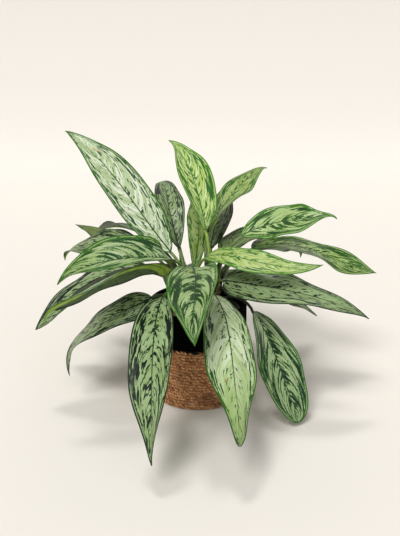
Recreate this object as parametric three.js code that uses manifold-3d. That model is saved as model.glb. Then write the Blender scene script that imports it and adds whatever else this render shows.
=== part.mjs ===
// Potted Chinese evergreen (Aglaonema): a bushy plant with long silver-patterned leaves on five short
// canes, standing in a black nursery pot inside a round woven seagrass basket whose upper rows are dyed
// black.
// Millimetres, +Z up. The origin is the centre of the basket's underside on the table,
// +X is to the right and +Y to the back as the plant is seen from its front.

import * as THREE from "three";
import { mergeVertices } from "three/addons/utils/BufferGeometryUtils.js";
import Module from "manifold-3d";

const wasm = await Module();
wasm.setup();

const GAP = 0.3; // left between pieces that touch
const { degToRad, lerp, smoothstep } = THREE.MathUtils;

// ---------------------------------------------------------------- driving dimensions

const BASKET = {
  baseRadius: 75.5,
  rimRadius: 74.5,
  height: 149,
  wall: 5.5,
  floor: 6,
  dyedFrom: 96, // height where the black rows begin
  rowPitch: 8,
  rowRelief: 1,
  bottomRound: 5,
  rimRound: 3,
  sides: 48,
};

const GROW_POT = {
  baseRadius: 48,
  rimRadius: 61.5,
  rimHeight: 136,
  wall: 1.6,
  lip: 3,
  lipDepth: 9,
  sides: 40,
  holes: 6,
  holeRadius: 4.5,
  holeCircle: 32,
  holeSides: 12,
};

// rootDepth is how far a cane stands down into the soil.
const SOIL = { edgeHeight: 127, crownHeight: 131, rootDepth: 45 };

const CANE = {
  radius: 7,
  taper: 0.8,
  ringPitch: 11,
  ringHeight: 2,
  ringRelief: 0.8,
  tipHeight: 3,
  sides: 10,
};

// Where each cane stands in plan, and the height of its growing tip.
const CANES = {
  centre: { x: -10, y: 8, top: 196 },
  right: { x: 20, y: -8, top: 205 },
  left: { x: -36, y: -10, top: 186 },
  back_right: { x: 28, y: 26, top: 192 },
  back_left: { x: -22, y: 36, top: 188 },
};

// A stalk starts beside its cane, or out of the cane's own tip where its foot lies within apex of it.
const STALK = { footRadius: 3.2, endRadius: 2.3, outset: 8, apex: 6 };

const BLADE = {
  halfThickness: 0.4,
  tipHalfWidth: 0.8,
  tipRib: 0.7,
  broad: 0.8, // how quickly the blade widens from its base
  taper: 1.1, // how long it draws out to its tip
  flatFrom: 0.15, // the share of the blade over which the round stalk flattens out
  dripFrom: 0.6, // a drip tip narrows from here to dripTo
  dripTo: 0.92,
  curlFrom: 0.8, // where a curled tip starts to bend
  ripple: 2.4, // how far the edges wave up and down
  waves: 2.25, // the number of waves along an edge
  waveSlant: 1.3, // how far the waves of one edge run ahead of the other's, in radians
  waveShift: 2.4, // how far each leaf's waves run ahead of the last one's, in radians
};

// The leaves, each with its foot height on its cane, the lengths of its stalk (petiole) and blade, and
// the blade's width. heading is the direction in plan (0 to the right, 90 to the back) and rise the angle
// above level, both at the foot, at the blade's base, at its middle and at its tip. roll turns the blade
// about its midrib at base, middle and tip, fold lifts its two halves into a V, and curl bends the tip
// further. All angles are in degrees. drip is the share of its width that a narrow tip loses.
const LEAVES = [
  {
    name: "leaf_tall_left", cane: "centre", foot: 172, stalk: 55, blade: 245, width: 66,
    heading: [170, 165, 160, 155], rise: [80, 48, 50, 25],
    roll: [-45, -45, -35], fold: 20, broad: 0.65, taper: 0.95, drip: 0.1,
  },
  {
    name: "leaf_back_left_upright", cane: "centre", foot: 178, stalk: 50, blade: 190, width: 50,
    heading: [125, 110, 100, 95], rise: [60, 40, 25, 0],
    roll: [-5, 10, -5], fold: 20, broad: 0.9, taper: 0.9,
  },
  {
    name: "leaf_behind_new", cane: "centre", foot: 182, stalk: 12, blade: 168, width: 38,
    heading: [72, 73, 90, 90], rise: [70, 52, 31, 25],
    roll: [25, -20, -5], fold: 25, broad: 0.75, taper: 0.75,
  },
  {
    name: "leaf_left_arching", cane: "centre", foot: 178, stalk: 52, blade: 194, width: 66,
    heading: [220, 234, 198, 160], rise: [85, 24, -3, -45],
    roll: [-17, -34, -35], fold: 35, broad: 0.7,
  },
  {
    name: "leaf_front_centre", cane: "centre", foot: 178, stalk: 62, blade: 196, width: 76,
    heading: [265, 280, 268, 276], rise: [80, 5, -10, -20],
    roll: [-5, 12, 5], fold: 28, broad: 0.65, taper: 0.8, drip: 0.3,
  },
  {
    name: "leaf_new_right_front", cane: "centre", foot: 188, stalk: 38, blade: 187, width: 43,
    heading: [335, 305, 334, 355], rise: [85, 32, -5, 19],
    roll: [40, 25, 55], fold: 0, broad: 0.75, taper: 1, drip: 0.25,
  },
  {
    name: "leaf_new_upright", cane: "right", foot: 200, stalk: 60, blade: 165, width: 60,
    heading: [145, 120, 120, 130], rise: [85, 70, 50, 20],
    roll: [15, -15, 0], fold: 35, taper: 1.1, drip: 0.15,
  },
  {
    name: "leaf_new_right", cane: "right", foot: 190, stalk: 70, blade: 180, width: 60,
    heading: [125, 60, 55, 35], rise: [75, 40, 25, 25],
    roll: [-70, -10, 5], fold: 0, curl: -40,
  },
  {
    name: "leaf_back_right_upright", cane: "right", foot: 176, stalk: 60, blade: 200, width: 58,
    heading: [95, 85, 80, 90], rise: [75, 25, 15, 15],
    roll: [5, -20, -15], fold: 10, taper: 1.2,
  },
  {
    name: "leaf_right_upper", cane: "right", foot: 188, stalk: 75, blade: 146, width: 62,
    heading: [10, 20, -20, 10], rise: [85, 30, 14, 15],
    roll: [25, 35, 20], fold: 5, broad: 0.75, taper: 0.95, drip: 0.55, curl: -60,
  },
  {
    name: "leaf_right_upper_inner", cane: "right", foot: 178, stalk: 45, blade: 160, width: 56,
    heading: [45, 70, 35, 10], rise: [85, 25, 5, 10],
    roll: [0, 0, -10], fold: 5,
  },
  {
    name: "leaf_right_large", cane: "right", foot: 168, stalk: 35, blade: 230, width: 66,
    heading: [300, 315, 350, 380], rise: [85, 10, -10, -35],
    roll: [45, 20, 40], fold: 5, broad: 0.5, taper: 1.15,
  },
  {
    name: "leaf_front_right_hanging", cane: "right", foot: 156, stalk: 45, blade: 255, width: 70,
    heading: [265, 287, 274, 283], rise: [60, 0, -25, -45],
    roll: [-10, -15, -30], fold: -10, broad: 0.5, taper: 0.5, drip: 0.4, curl: -60,
  },
  {
    name: "leaf_right_hanging", cane: "right", foot: 141, stalk: 85, blade: 172, width: 76,
    heading: [320, 325, 313, 310], rise: [70, -50, -60, -50],
    roll: [-15, 5, 10], fold: 5, broad: 0.5, taper: 0.6, curl: -40,
  },
  {
    name: "leaf_left_back_curled", cane: "left", foot: 178, stalk: 50, blade: 195, width: 60,
    heading: [135, 160, 150, 135], rise: [85, 20, -10, -30],
    roll: [0, -25, 0], fold: 10, curl: -50,
  },
  {
    name: "leaf_left_long", cane: "left", foot: 176, stalk: 34, blade: 202, width: 76,
    heading: [180, 186, 195, 190], rise: [85, 16, -32, -30],
    roll: [-10, 5, -26], fold: 25, taper: 0.85,
  },
  {
    name: "leaf_left_turned", cane: "left", foot: 164, stalk: 35, blade: 225, width: 54,
    heading: [235, 245, 208, 195], rise: [85, 60, -18, -6],
    roll: [43, 39, 44], fold: -20, taper: 1.2, curl: -90,
  },
  {
    name: "leaf_left_low", cane: "left", foot: 153, stalk: 35, blade: 195, width: 64,
    heading: [215, 215, 180, 165], rise: [60, -15, -35, -100],
    roll: [-55, -5, -60], fold: 0, broad: 0.6, taper: 0.95, drip: 0.4,
  },
  {
    name: "leaf_front_left_hanging", cane: "left", foot: 147, stalk: 75, blade: 250, width: 62,
    heading: [260, 260, 270, 270], rise: [65, 0, -40, -70],
    roll: [0, 10, 50], fold: 25, taper: 0.9, drip: 0.3,
  },
  {
    name: "leaf_right_far", cane: "back_right", foot: 180, stalk: 65, blade: 210, width: 68,
    heading: [15, 15, 5, -15], rise: [60, 15, -20, -10],
    roll: [15, 10, 75], fold: 5, broad: 0.95, taper: 1.15,
  },
  {
    name: "leaf_right_under", cane: "back_right", foot: 156, stalk: 40, blade: 125, width: 52,
    heading: [345, 350, 355, 360], rise: [45, -5, -25, -35],
    roll: [5, 5, 5], fold: 10,
  },
  {
    name: "leaf_right_inner", cane: "back_right", foot: 168, stalk: 95, blade: 140, width: 50,
    heading: [54, 46, 40, 42], rise: [46, -5, -13, -34],
    roll: [10, 15, 0], fold: 10, curl: -60,
  },
  {
    name: "leaf_left_back_narrow", cane: "back_left", foot: 176, stalk: 65, blade: 175, width: 52,
    heading: [170, 145, 140, 140], rise: [60, 5, 5, 0],
    roll: [-10, -10, 10], fold: 0, taper: 1.15,
  },
  {
    name: "leaf_left_back_wide", cane: "back_left", foot: 168, stalk: 65, blade: 195, width: 60,
    heading: [125, 135, 135, 140], rise: [50, 25, -5, -30],
    roll: [5, 15, -15], fold: 10,
  },
  {
    name: "leaf_rear_centre", cane: "back_right", foot: 172, stalk: 55, blade: 175, width: 54,
    heading: [100, 100, 98, 95], rise: [60, 15, 0, -15],
    roll: [0, 5, 0], fold: 12,
  },
  {
    name: "leaf_rear_right_hanging", cane: "back_right", foot: 152, stalk: 50, blade: 175, width: 58,
    heading: [70, 75, 75, 75], rise: [45, -5, -45, -65],
    roll: [0, 5, 0], fold: 10,
  },
  {
    name: "leaf_rear_hanging", cane: "back_left", foot: 150, stalk: 55, blade: 195, width: 62,
    heading: [95, 95, 95, 90], rise: [40, -5, -45, -70],
    roll: [0, -5, 0], fold: 10,
  },
  {
    name: "leaf_rear_left", cane: "back_left", foot: 178, stalk: 60, blade: 180, width: 54,
    heading: [100, 110, 115, 110], rise: [65, 25, 0, -20],
    roll: [0, 5, 0], fold: 15,
  },
  {
    name: "leaf_rear_low_left", cane: "back_left", foot: 158, stalk: 55, blade: 185, width: 58,
    heading: [180, 165, 165, 160], rise: [45, 0, -25, -50],
    roll: [0, 10, 0], fold: 10,
  },
];

// ---------------------------------------------------------------- finishes

function finish(color, roughness) {
  return new THREE.MeshStandardMaterial({ color, roughness, metalness: 0 });
}

const FINISH = {
  oldLeaf: finish("#7f9a78", 0.45),
  newLeaf: finish("#9dbb62", 0.42),
  cane: finish("#6f7a45", 0.7),
  soil: finish("#3a2d24", 0.95),
  growPot: finish("#1b1b1c", 0.55),
  seagrass: finish("#8a5a38", 0.9),
  dyedSeagrass: finish("#17140f", 0.9),
};

const NEW_LEAVES = ["leaf_new_upright", "leaf_new_right", "leaf_new_right_front"];

// ---------------------------------------------------------------- solids

// A closed geometry as a manifold-3d solid.
function solidOf(geometry) {
  const bare = new THREE.BufferGeometry().setAttribute("position", geometry.getAttribute("position"));
  bare.setIndex(geometry.getIndex());
  const merged = mergeVertices(bare, 1e-4);
  const triVerts = new Uint32Array(merged.index.array);
  const vertProperties = merged.attributes.position.array;
  return new wasm.Manifold(new wasm.Mesh({ numProp: 3, vertProperties, triVerts }));
}

// A solid as a named mesh. Loose scraps that a cut left are dropped.
function meshOf(name, solid, material) {
  const bodies = solid.decompose();
  bodies.sort((a, b) => b.volume() - a.volume());
  const { vertProperties, triVerts } = bodies[0].getMesh();
  const geometry = new THREE.BufferGeometry();
  geometry.setAttribute("position", new THREE.BufferAttribute(new Float32Array(vertProperties), 3));
  geometry.setIndex(new THREE.BufferAttribute(new Uint32Array(triVerts), 1));
  geometry.computeVertexNormals();
  const mesh = new THREE.Mesh(geometry, material);
  mesh.name = name;
  return mesh;
}

// A profile of [radius, height] pairs turned about the Z axis. It runs up the outside.
function turned(profile, sides) {
  const points = profile.map(([radius, height]) => new THREE.Vector2(radius, height));
  return solidOf(new THREE.LatheGeometry(points, sides).rotateX(Math.PI / 2));
}

// An upright cylinder from one height to another.
function post(x, y, radius, bottom, top, sides) {
  const cylinder = new THREE.CylinderGeometry(radius, radius, top - bottom, sides).rotateX(Math.PI / 2);
  return solidOf(cylinder.translate(x, y, (top + bottom) / 2));
}

// ---------------------------------------------------------------- basket

function basketRadius(height) {
  return lerp(BASKET.baseRadius, BASKET.rimRadius, height / BASKET.height);
}

// The outside of a stretch of rows: a crest in the middle of each row and a valley between rows.
function wovenRows(bottom, top) {
  const rows = Math.round((top - bottom) / BASKET.rowPitch);
  const pitch = (top - bottom) / rows;
  const points = [];
  for (let row = 0; row < rows; row += 1) {
    const middle = bottom + (row + 0.5) * pitch;
    points.push([basketRadius(middle), middle]);
    if (row < rows - 1) points.push([basketRadius(middle) - BASKET.rowRelief, middle + pitch / 2]);
  }
  return points;
}

function basketBody() {
  const { wall, floor, dyedFrom, bottomRound, rowRelief, sides } = BASKET;
  const inside = basketRadius(0) - wall - rowRelief;
  const rows = wovenRows(bottomRound, dyedFrom - 1);
  const seam = basketRadius(dyedFrom) - rowRelief;
  const profile = [
    [0, 0],
    [basketRadius(0) - bottomRound, 0],
    [basketRadius(0) - 0.3 * bottomRound, 0.3 * bottomRound],
    ...rows,
    [seam, dyedFrom],
    [basketRadius(dyedFrom) - wall - rowRelief, dyedFrom],
    [inside, floor],
    [0, floor],
  ];
  return turned(profile, sides);
}

function basketDyedBand() {
  const { wall, dyedFrom, height, rowRelief, rimRound, sides } = BASKET;
  const bottom = dyedFrom + GAP;
  const inner = basketRadius(bottom) - wall - rowRelief;
  const profile = [
    [basketRadius(bottom) - rowRelief, bottom],
    ...wovenRows(bottom + 1, height - rimRound),
    [basketRadius(height) - 0.5 * rimRound, height - 0.3 * rimRound],
    [basketRadius(height) - 0.5 * wall, height],
    [basketRadius(height) - wall, height - 0.5 * rimRound],
    [inner, height - 2 * rimRound],
    [inner, bottom],
    [basketRadius(bottom) - rowRelief, bottom],
  ];
  return turned(profile, sides);
}

// ---------------------------------------------------------------- nursery pot and soil

const POT_BOTTOM = BASKET.floor + GAP;

// The nursery pot's outside radius at a height.
function potRadius(height) {
  const share = (height - POT_BOTTOM) / (GROW_POT.rimHeight - POT_BOTTOM);
  return lerp(GROW_POT.baseRadius, GROW_POT.rimRadius, share);
}

function growPot() {
  const { rimHeight, wall, lip, lipDepth, sides, holes, holeRadius, holeCircle, holeSides } = GROW_POT;
  const lipBottom = rimHeight - lipDepth;
  const floorTop = POT_BOTTOM + wall;
  let pot = turned([
    [0, POT_BOTTOM],
    [potRadius(POT_BOTTOM), POT_BOTTOM],
    [potRadius(lipBottom), lipBottom],
    [potRadius(lipBottom) + lip, lipBottom],
    [potRadius(rimHeight) + lip, rimHeight],
    [potRadius(rimHeight) - wall, rimHeight],
    [potRadius(floorTop) - wall, floorTop],
    [0, floorTop],
  ], sides);
  for (let i = 0; i < holes; i += 1) {
    const angle = (i / holes) * 2 * Math.PI;
    const x = holeCircle * Math.cos(angle);
    const y = holeCircle * Math.sin(angle);
    pot = pot.subtract(post(x, y, holeRadius, POT_BOTTOM - 1, floorTop + 1, holeSides));
  }
  return pot;
}

function soil() {
  const { edgeHeight, crownHeight, rootDepth } = SOIL;
  const bottom = POT_BOTTOM + GROW_POT.wall + GAP;
  const inside = (height) => potRadius(height) - GROW_POT.wall - 2 * GAP;
  let filling = turned([
    [0, bottom],
    [inside(bottom), bottom],
    [inside(edgeHeight), edgeHeight],
    [0.7 * inside(edgeHeight), lerp(edgeHeight, crownHeight, 0.7)],
    [0, crownHeight],
  ], GROW_POT.sides);
  const holeRadius = CANE.radius + CANE.ringRelief + GAP;
  const holeBottom = crownHeight - rootDepth - GAP;
  for (const { x, y } of Object.values(CANES)) {
    filling = filling.subtract(post(x, y, holeRadius, holeBottom, crownHeight + 1, CANE.sides));
  }
  return filling;
}

// ---------------------------------------------------------------- canes

// A cane is ringed by the scars of the leaves it has shed, and ends in a blunt growing tip. With room, it
// is the space to keep free round the cane.
function cane({ x, y, top }, room = 0) {
  const bottom = SOIL.crownHeight - SOIL.rootDepth;
  const rings = Math.floor((top - bottom) / CANE.ringPitch);
  const profile = [[0, bottom - room], [CANE.radius + room, bottom - room]];
  for (let ring = 1; ring < rings; ring += 1) {
    const height = bottom + ring * CANE.ringPitch;
    const radius = CANE.radius - CANE.taper * (ring / rings) + room;
    profile.push([radius, height - CANE.ringHeight], [radius + CANE.ringRelief, height]);
  }
  const tip = CANE.radius - CANE.taper + room;
  profile.push([tip, top - CANE.tipHeight], [0.6 * tip, top + room], [0, top + room]);
  return turned(profile, CANE.sides).translate([x, y, 0]);
}

// ---------------------------------------------------------------- leaves

// Places along a leaf: -1 is the foot, 0 the blade's base and 1 its tip. The path is stepped finely,
// and a cross-section stands at each of the stations.
const STALK_STEPS = 8;
const BLADE_STEPS = 24;
const STATIONS = [-8, -6, -4, -2, 0, 1, 3, 5, 8, 11, 14, 17, 20, 22, 23, 24];
const ACROSS = [-1, -0.5, 0, 0.5, 1];

function placeOfStep(step) {
  return step < 0 ? step / STALK_STEPS : step / BLADE_STEPS;
}

// An angle given at foot, base, middle and tip, read anywhere along the leaf.
function angleAlong([foot, base, middle, tip], place) {
  if (place < 0) return degToRad(lerp(base, foot, -place));
  const share = base * (1 - place) * (1 - 2 * place) + 4 * middle * place * (1 - place);
  return degToRad(share + tip * place * (2 * place - 1));
}

// The frame of the leaf at a place: which way it runs, its left side and its upper face.
function frameAt(leaf, place) {
  const heading = angleAlong(leaf.heading, place);
  const bend = Math.max(0, (place - BLADE.curlFrom) / (1 - BLADE.curlFrom)) ** 2;
  const rise = angleAlong(leaf.rise, place) + degToRad(leaf.curl ?? 0) * bend;
  const turn = angleAlong([leaf.roll[0], ...leaf.roll], place);
  const level = Math.cos(rise);
  const along = new THREE.Vector3(level * Math.cos(heading), level * Math.sin(heading), Math.sin(rise));
  const side = new THREE.Vector3(-Math.sin(heading), Math.cos(heading), 0).applyAxisAngle(along, turn);
  return { along, side, up: along.clone().cross(side) };
}

// The midrib as one point for each station, from the foot on the cane to the tip.
function midrib(leaf) {
  const { x, y, top } = CANES[leaf.cane];
  const out = leaf.foot < top - STALK.apex ? STALK.outset : 0;
  const heading = degToRad(leaf.heading[0]);
  const point = new THREE.Vector3(x + out * Math.cos(heading), y + out * Math.sin(heading), leaf.foot);
  const points = new Map([[-STALK_STEPS, point.clone()]]);
  for (let step = -STALK_STEPS; step < BLADE_STEPS; step += 1) {
    const length = step < 0 ? leaf.stalk / STALK_STEPS : leaf.blade / BLADE_STEPS;
    const here = frameAt(leaf, placeOfStep(step)).along;
    const next = frameAt(leaf, placeOfStep(step + 1)).along;
    point.addScaledVector(here.add(next).normalize(), length);
    points.set(step + 1, point.clone());
  }
  return points;
}

// Half the blade's width: it widens quickly from the base and draws out to a point, or to a drip tip.
function bladeHalfWidth(leaf, place) {
  const broad = leaf.broad ?? BLADE.broad;
  const taper = leaf.taper ?? BLADE.taper;
  const widest = broad / (broad + taper);
  const shape = (at) => at ** broad * (1 - at) ** taper;
  const drip = 1 - (leaf.drip ?? 0) * smoothstep(place, BLADE.dripFrom, BLADE.dripTo);
  return (leaf.width / 2) * (shape(place) / shape(widest)) * drip;
}

// The points round one cross-section: the upper face from left to right, then the lower face back.
function section(leaf, centre, place, phase) {
  const { side, up } = frameAt(leaf, place);
  const stalkRadius = lerp(STALK.endRadius, STALK.footRadius, Math.max(0, -place));
  const blade = Math.max(0, place);
  const half = place <= 0 ? stalkRadius : Math.max(bladeHalfWidth(leaf, place), BLADE.tipHalfWidth);
  const core = lerp(stalkRadius, BLADE.tipRib, blade) - BLADE.halfThickness;
  const flat = smoothstep(blade, 0, BLADE.flatFrom);
  const fold = degToRad(leaf.fold) * flat;
  const ripple = BLADE.ripple * flat * Math.sin(Math.PI * blade);
  const rim = (across, face) => {
    const round = (1 - flat) * Math.sqrt(1 - across * across);
    const rib = across === 0 && face < 0 ? flat : 0;
    const turn = 2 * Math.PI * BLADE.waves * blade + phase + BLADE.waveSlant * across;
    const wave = ripple * across * across * Math.sin(turn);
    const lift = Math.sin(fold) * Math.abs(across) * half + wave;
    const offset = lift + face * (BLADE.halfThickness + core * (round + rib));
    return centre.clone().addScaledVector(side, Math.cos(fold) * across * half).addScaledVector(up, offset);
  };
  const upper = ACROSS.map((across) => rim(across, 1));
  const lower = ACROSS.map((across) => rim(across, -1)).reverse();
  return [...upper, ...lower];
}

// Rings of points joined into one closed skin. Both faces of the blade are split along the same diagonals.
function loft(rings) {
  const around = rings[0].length;
  const positions = rings.flat().flatMap((point) => point.toArray());
  const faces = [];
  for (let i = 0; i < rings.length - 1; i += 1) {
    for (let k = 0; k < around; k += 1) {
      const a = i * around + k;
      const b = i * around + ((k + 1) % around);
      const c = b + around;
      const d = a + around;
      if (k < around / 2) faces.push(a, d, c, a, c, b);
      else faces.push(a, d, b, b, d, c);
    }
  }
  const last = (rings.length - 1) * around;
  for (let k = 0; k < around / 2 - 1; k += 1) {
    const mirror = around - 1 - k;
    faces.push(k, k + 1, mirror - 1, k, mirror - 1, mirror);
    faces.push(last + k, last + mirror - 1, last + k + 1, last + k, last + mirror, last + mirror - 1);
  }
  const geometry = new THREE.BufferGeometry();
  geometry.setAttribute("position", new THREE.Float32BufferAttribute(positions, 3));
  geometry.setIndex(faces);
  return geometry;
}

function leafSolid(leaf, index) {
  const points = midrib(leaf);
  const phase = BLADE.waveShift * index;
  const rings = STATIONS.map((step) => section(leaf, points.get(step), placeOfStep(step), phase));
  return solidOf(loft(rings)).subtract(cane(CANES[leaf.cane], GAP));
}

// ---------------------------------------------------------------- assembly

const plant = new THREE.Group();
plant.name = "potted_chinese_evergreen";

plant.add(meshOf("basket_seagrass", basketBody(), FINISH.seagrass));
plant.add(meshOf("basket_dyed_band", basketDyedBand(), FINISH.dyedSeagrass));
plant.add(meshOf("grow_pot", growPot(), FINISH.growPot));
plant.add(meshOf("potting_soil", soil(), FINISH.soil));

for (const [place, stand] of Object.entries(CANES)) {
  plant.add(meshOf(`cane_${place}`, cane(stand), FINISH.cane));
}

LEAVES.forEach((leaf, index) => {
  const material = NEW_LEAVES.includes(leaf.name) ? FINISH.newLeaf : FINISH.oldLeaf;
  plant.add(meshOf(leaf.name, leafSolid(leaf, index), material));
});

export default plant;
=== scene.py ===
import math
import random
from dataclasses import dataclass

import bmesh
import bpy
from mathutils import Matrix, Vector, noise


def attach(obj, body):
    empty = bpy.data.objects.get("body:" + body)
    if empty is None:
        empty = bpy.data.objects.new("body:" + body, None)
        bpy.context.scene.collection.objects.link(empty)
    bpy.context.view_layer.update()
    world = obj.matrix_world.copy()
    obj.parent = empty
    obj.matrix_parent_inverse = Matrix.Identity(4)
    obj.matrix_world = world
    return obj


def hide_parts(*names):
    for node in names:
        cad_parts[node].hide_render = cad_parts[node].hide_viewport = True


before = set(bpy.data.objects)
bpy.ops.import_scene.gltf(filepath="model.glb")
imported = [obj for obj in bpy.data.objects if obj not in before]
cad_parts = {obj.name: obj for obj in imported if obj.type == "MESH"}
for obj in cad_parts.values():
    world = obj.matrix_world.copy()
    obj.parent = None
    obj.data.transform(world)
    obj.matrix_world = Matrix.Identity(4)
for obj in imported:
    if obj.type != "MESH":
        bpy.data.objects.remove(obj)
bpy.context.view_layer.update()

# A chinese evergreen in a black nursery pot, inside a seagrass basket whose upper rows are dyed black.
# Sizes are in millimetres until a point is placed in a mesh, which is in metres.
MM = 0.001
FULL_TURN = 2 * math.pi

# ---------------------------------------------------------------- driving dimensions

BASKET_BASE_RADIUS = 75.5
BASKET_RIM_RADIUS = 74.5
BASKET_HEIGHT = 149
BASKET_WALL = 6.0
DYED_FROM = 96
NATURAL_ROWS = 20
DYED_ROWS = 11
BOTTOM_TURNS = 11
BOTTOM_OUTER_RADIUS = 69
BOTTOM_INNER_RADIUS = 1
BOTTOM_CORD_HALF = 3.4
BOTTOM_FIRST_ROW = 40    # in the cord map, where the walls' rows come first
FOOT_ROW_INSET = 1.2
CORD_HALF_HEIGHT = 0.56  # of the rows' pitch, so that each row presses into the next
CORD_LAY = 3.9           # how far apart a cord's strands lie along it
RIM_CORD_LAY = 2.73
CORD_TWIST = 4           # how many strands a cord is twisted from
CORD_STEPS = 440         # steps round the widest row
CORD_SIDES = 8
STRAND_DEPTH = 0.6
STRAND_SWELL = 0.5       # how far a strand wanders in and out
DYE_FAINT_FROM = DYED_FROM - 1.6
DYE_FULL_FROM = DYED_FROM - 1.0
DYE_RAGGEDNESS = 5
CORD_CLEARANCE = 0.8     # between the table and the lowest cords, whose strands bulge down

POT_BOTTOM = 6.3
POT_BASE_RADIUS = 48
POT_RIM_RADIUS = 61.5
POT_RIM_HEIGHT = 136
POT_WALL = 1.6
POT_LIP = 3
POT_LIP_DEPTH = 9
POT_HOLES = 6
POT_HOLE_RADIUS = 4.5
POT_HOLE_CIRCLE = 32
POT_HOLE_STEPS = 24
POT_DRILL_LENGTH = 8
POT_EDGE_ROUNDING = 1
POT_FOOT_ROUNDING = 1.5
POT_STEPS = 120

SOIL_EDGE = 127
SOIL_CROWN = 131
SOIL_BOTTOM = 8.2
SOIL_INSET = 2.2         # from the nursery pot's outer face
SOIL_RINGS = 40
BARK_CHIPS = 240
BARK_SEED = 7

CANE_FOOT = 86
CANE_RADIUS = 7
CANE_TAPER = 0.8
CANE_RING_PITCH = 11
CANE_RING_RELIEF = 0.8
CANE_STEPS = 36

# Where each cane stands in plan, and the height of its growing tip.
CANES = {
    "centre": (-10, 8, 196),
    "right": (20, -8, 205),
    "left": (-36, -10, 186),
    "back_right": (28, 26, 192),
    "back_left": (-22, 36, 188),
}

STALK_FOOT_RADIUS = 3.2
STALK_END_RADIUS = 2.3
STALK_OUTSET = 8
STALK_APEX = 6
STALK_SHEATH_FROM = 0.35
STALK_SHEATH_FLARE = 0.9
RIB_SLIMNESS = 0.74      # of the stalk's own taper, once it has become the midrib

BLADE_HALF_THICKNESS = 0.3
BLADE_TIP_HALF_WIDTH = 0.5
BLADE_TIP_RIB = 0.7
BLADE_FLAT_FROM = 0.15
BLADE_DRIP_FROM = 0.6
BLADE_DRIP_TO = 0.92
BLADE_CURL_FROM = 0.8
BLADE_GROOVE = 0.5
BLADE_GROOVE_HALF_WIDTH = 1.4
BLADE_LUMP = 0.8
BLADE_LUMP_LENGTH = 30
BLADE_RIPPLE = 2.4
BLADE_WAVES = 2.25
BLADE_WAVE_SLANT = 1.3
BLADE_WAVE_SHIFT = 2.4
VEIN_SPACING = 15
VEIN_RELIEF = 0.5
VEIN_BEND = 2.4          # how late a side vein bends forward

STALK_ROWS = 24
STALK_SIDES = 14
BLADE_ROWS = 96
BLADE_COLUMNS = 36
BLADE_COLUMN_CROWDING = 1.3  # above 1, columns lie closer by the midrib

MARK_SOFTNESS = 0.5

# Each half leaf has a number of its own, which sets its pattern apart from the others'.
LEAF_STEP = 11.3
LEFT_HALF_STEP = 4.1

# Blemishes: the leaf, the side vein, the distance along it (below 0, on the left half), radius and colour.
MARKS = [
    ("leaf_tall_left", 172.0, -19.5, 3.4, "#e2a56c"),
    ("leaf_tall_left", 165.3, -18.5, 3.6, "#1d3d12"),
    ("leaf_front_right_hanging", 151.5, -24.5, 2.0, "#a03018"),
]


@dataclass
class Leaf:
    """A leaf: its foot's height on its cane, its sizes, and how it bends, in degrees.

    heading (0 to the right, 90 to the back) and rise are given at the foot, the blade's base, its middle
    and its tip, and roll at the blade's base, middle and tip. drip is the share of its width that a narrow
    tip loses. tone runs from 0, an old silvery leaf, to 1, a young yellow-green one, mottle is how much of
    the blade is blotched, shade how far painted shade darkens a leaf that lies in shade, pale how silvery,
    which also brings out painted glare in its broad streaks, and bold how far its blotches run together
    into broad green feathers. stem is how far painted shade darkens its stalk.
    """

    name: str
    cane: str
    foot: float
    stalk: float
    blade: float
    width: float
    heading: tuple
    rise: tuple
    roll: tuple
    fold: float
    broad: float = 0.8
    taper: float = 1.1
    drip: float = 0
    curl: float = 0
    tone: float = 0
    mottle: float = 0.5
    shade: float = 0
    pale: float = 0
    bold: float = 0
    stalk_shade: float = 0.55


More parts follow.
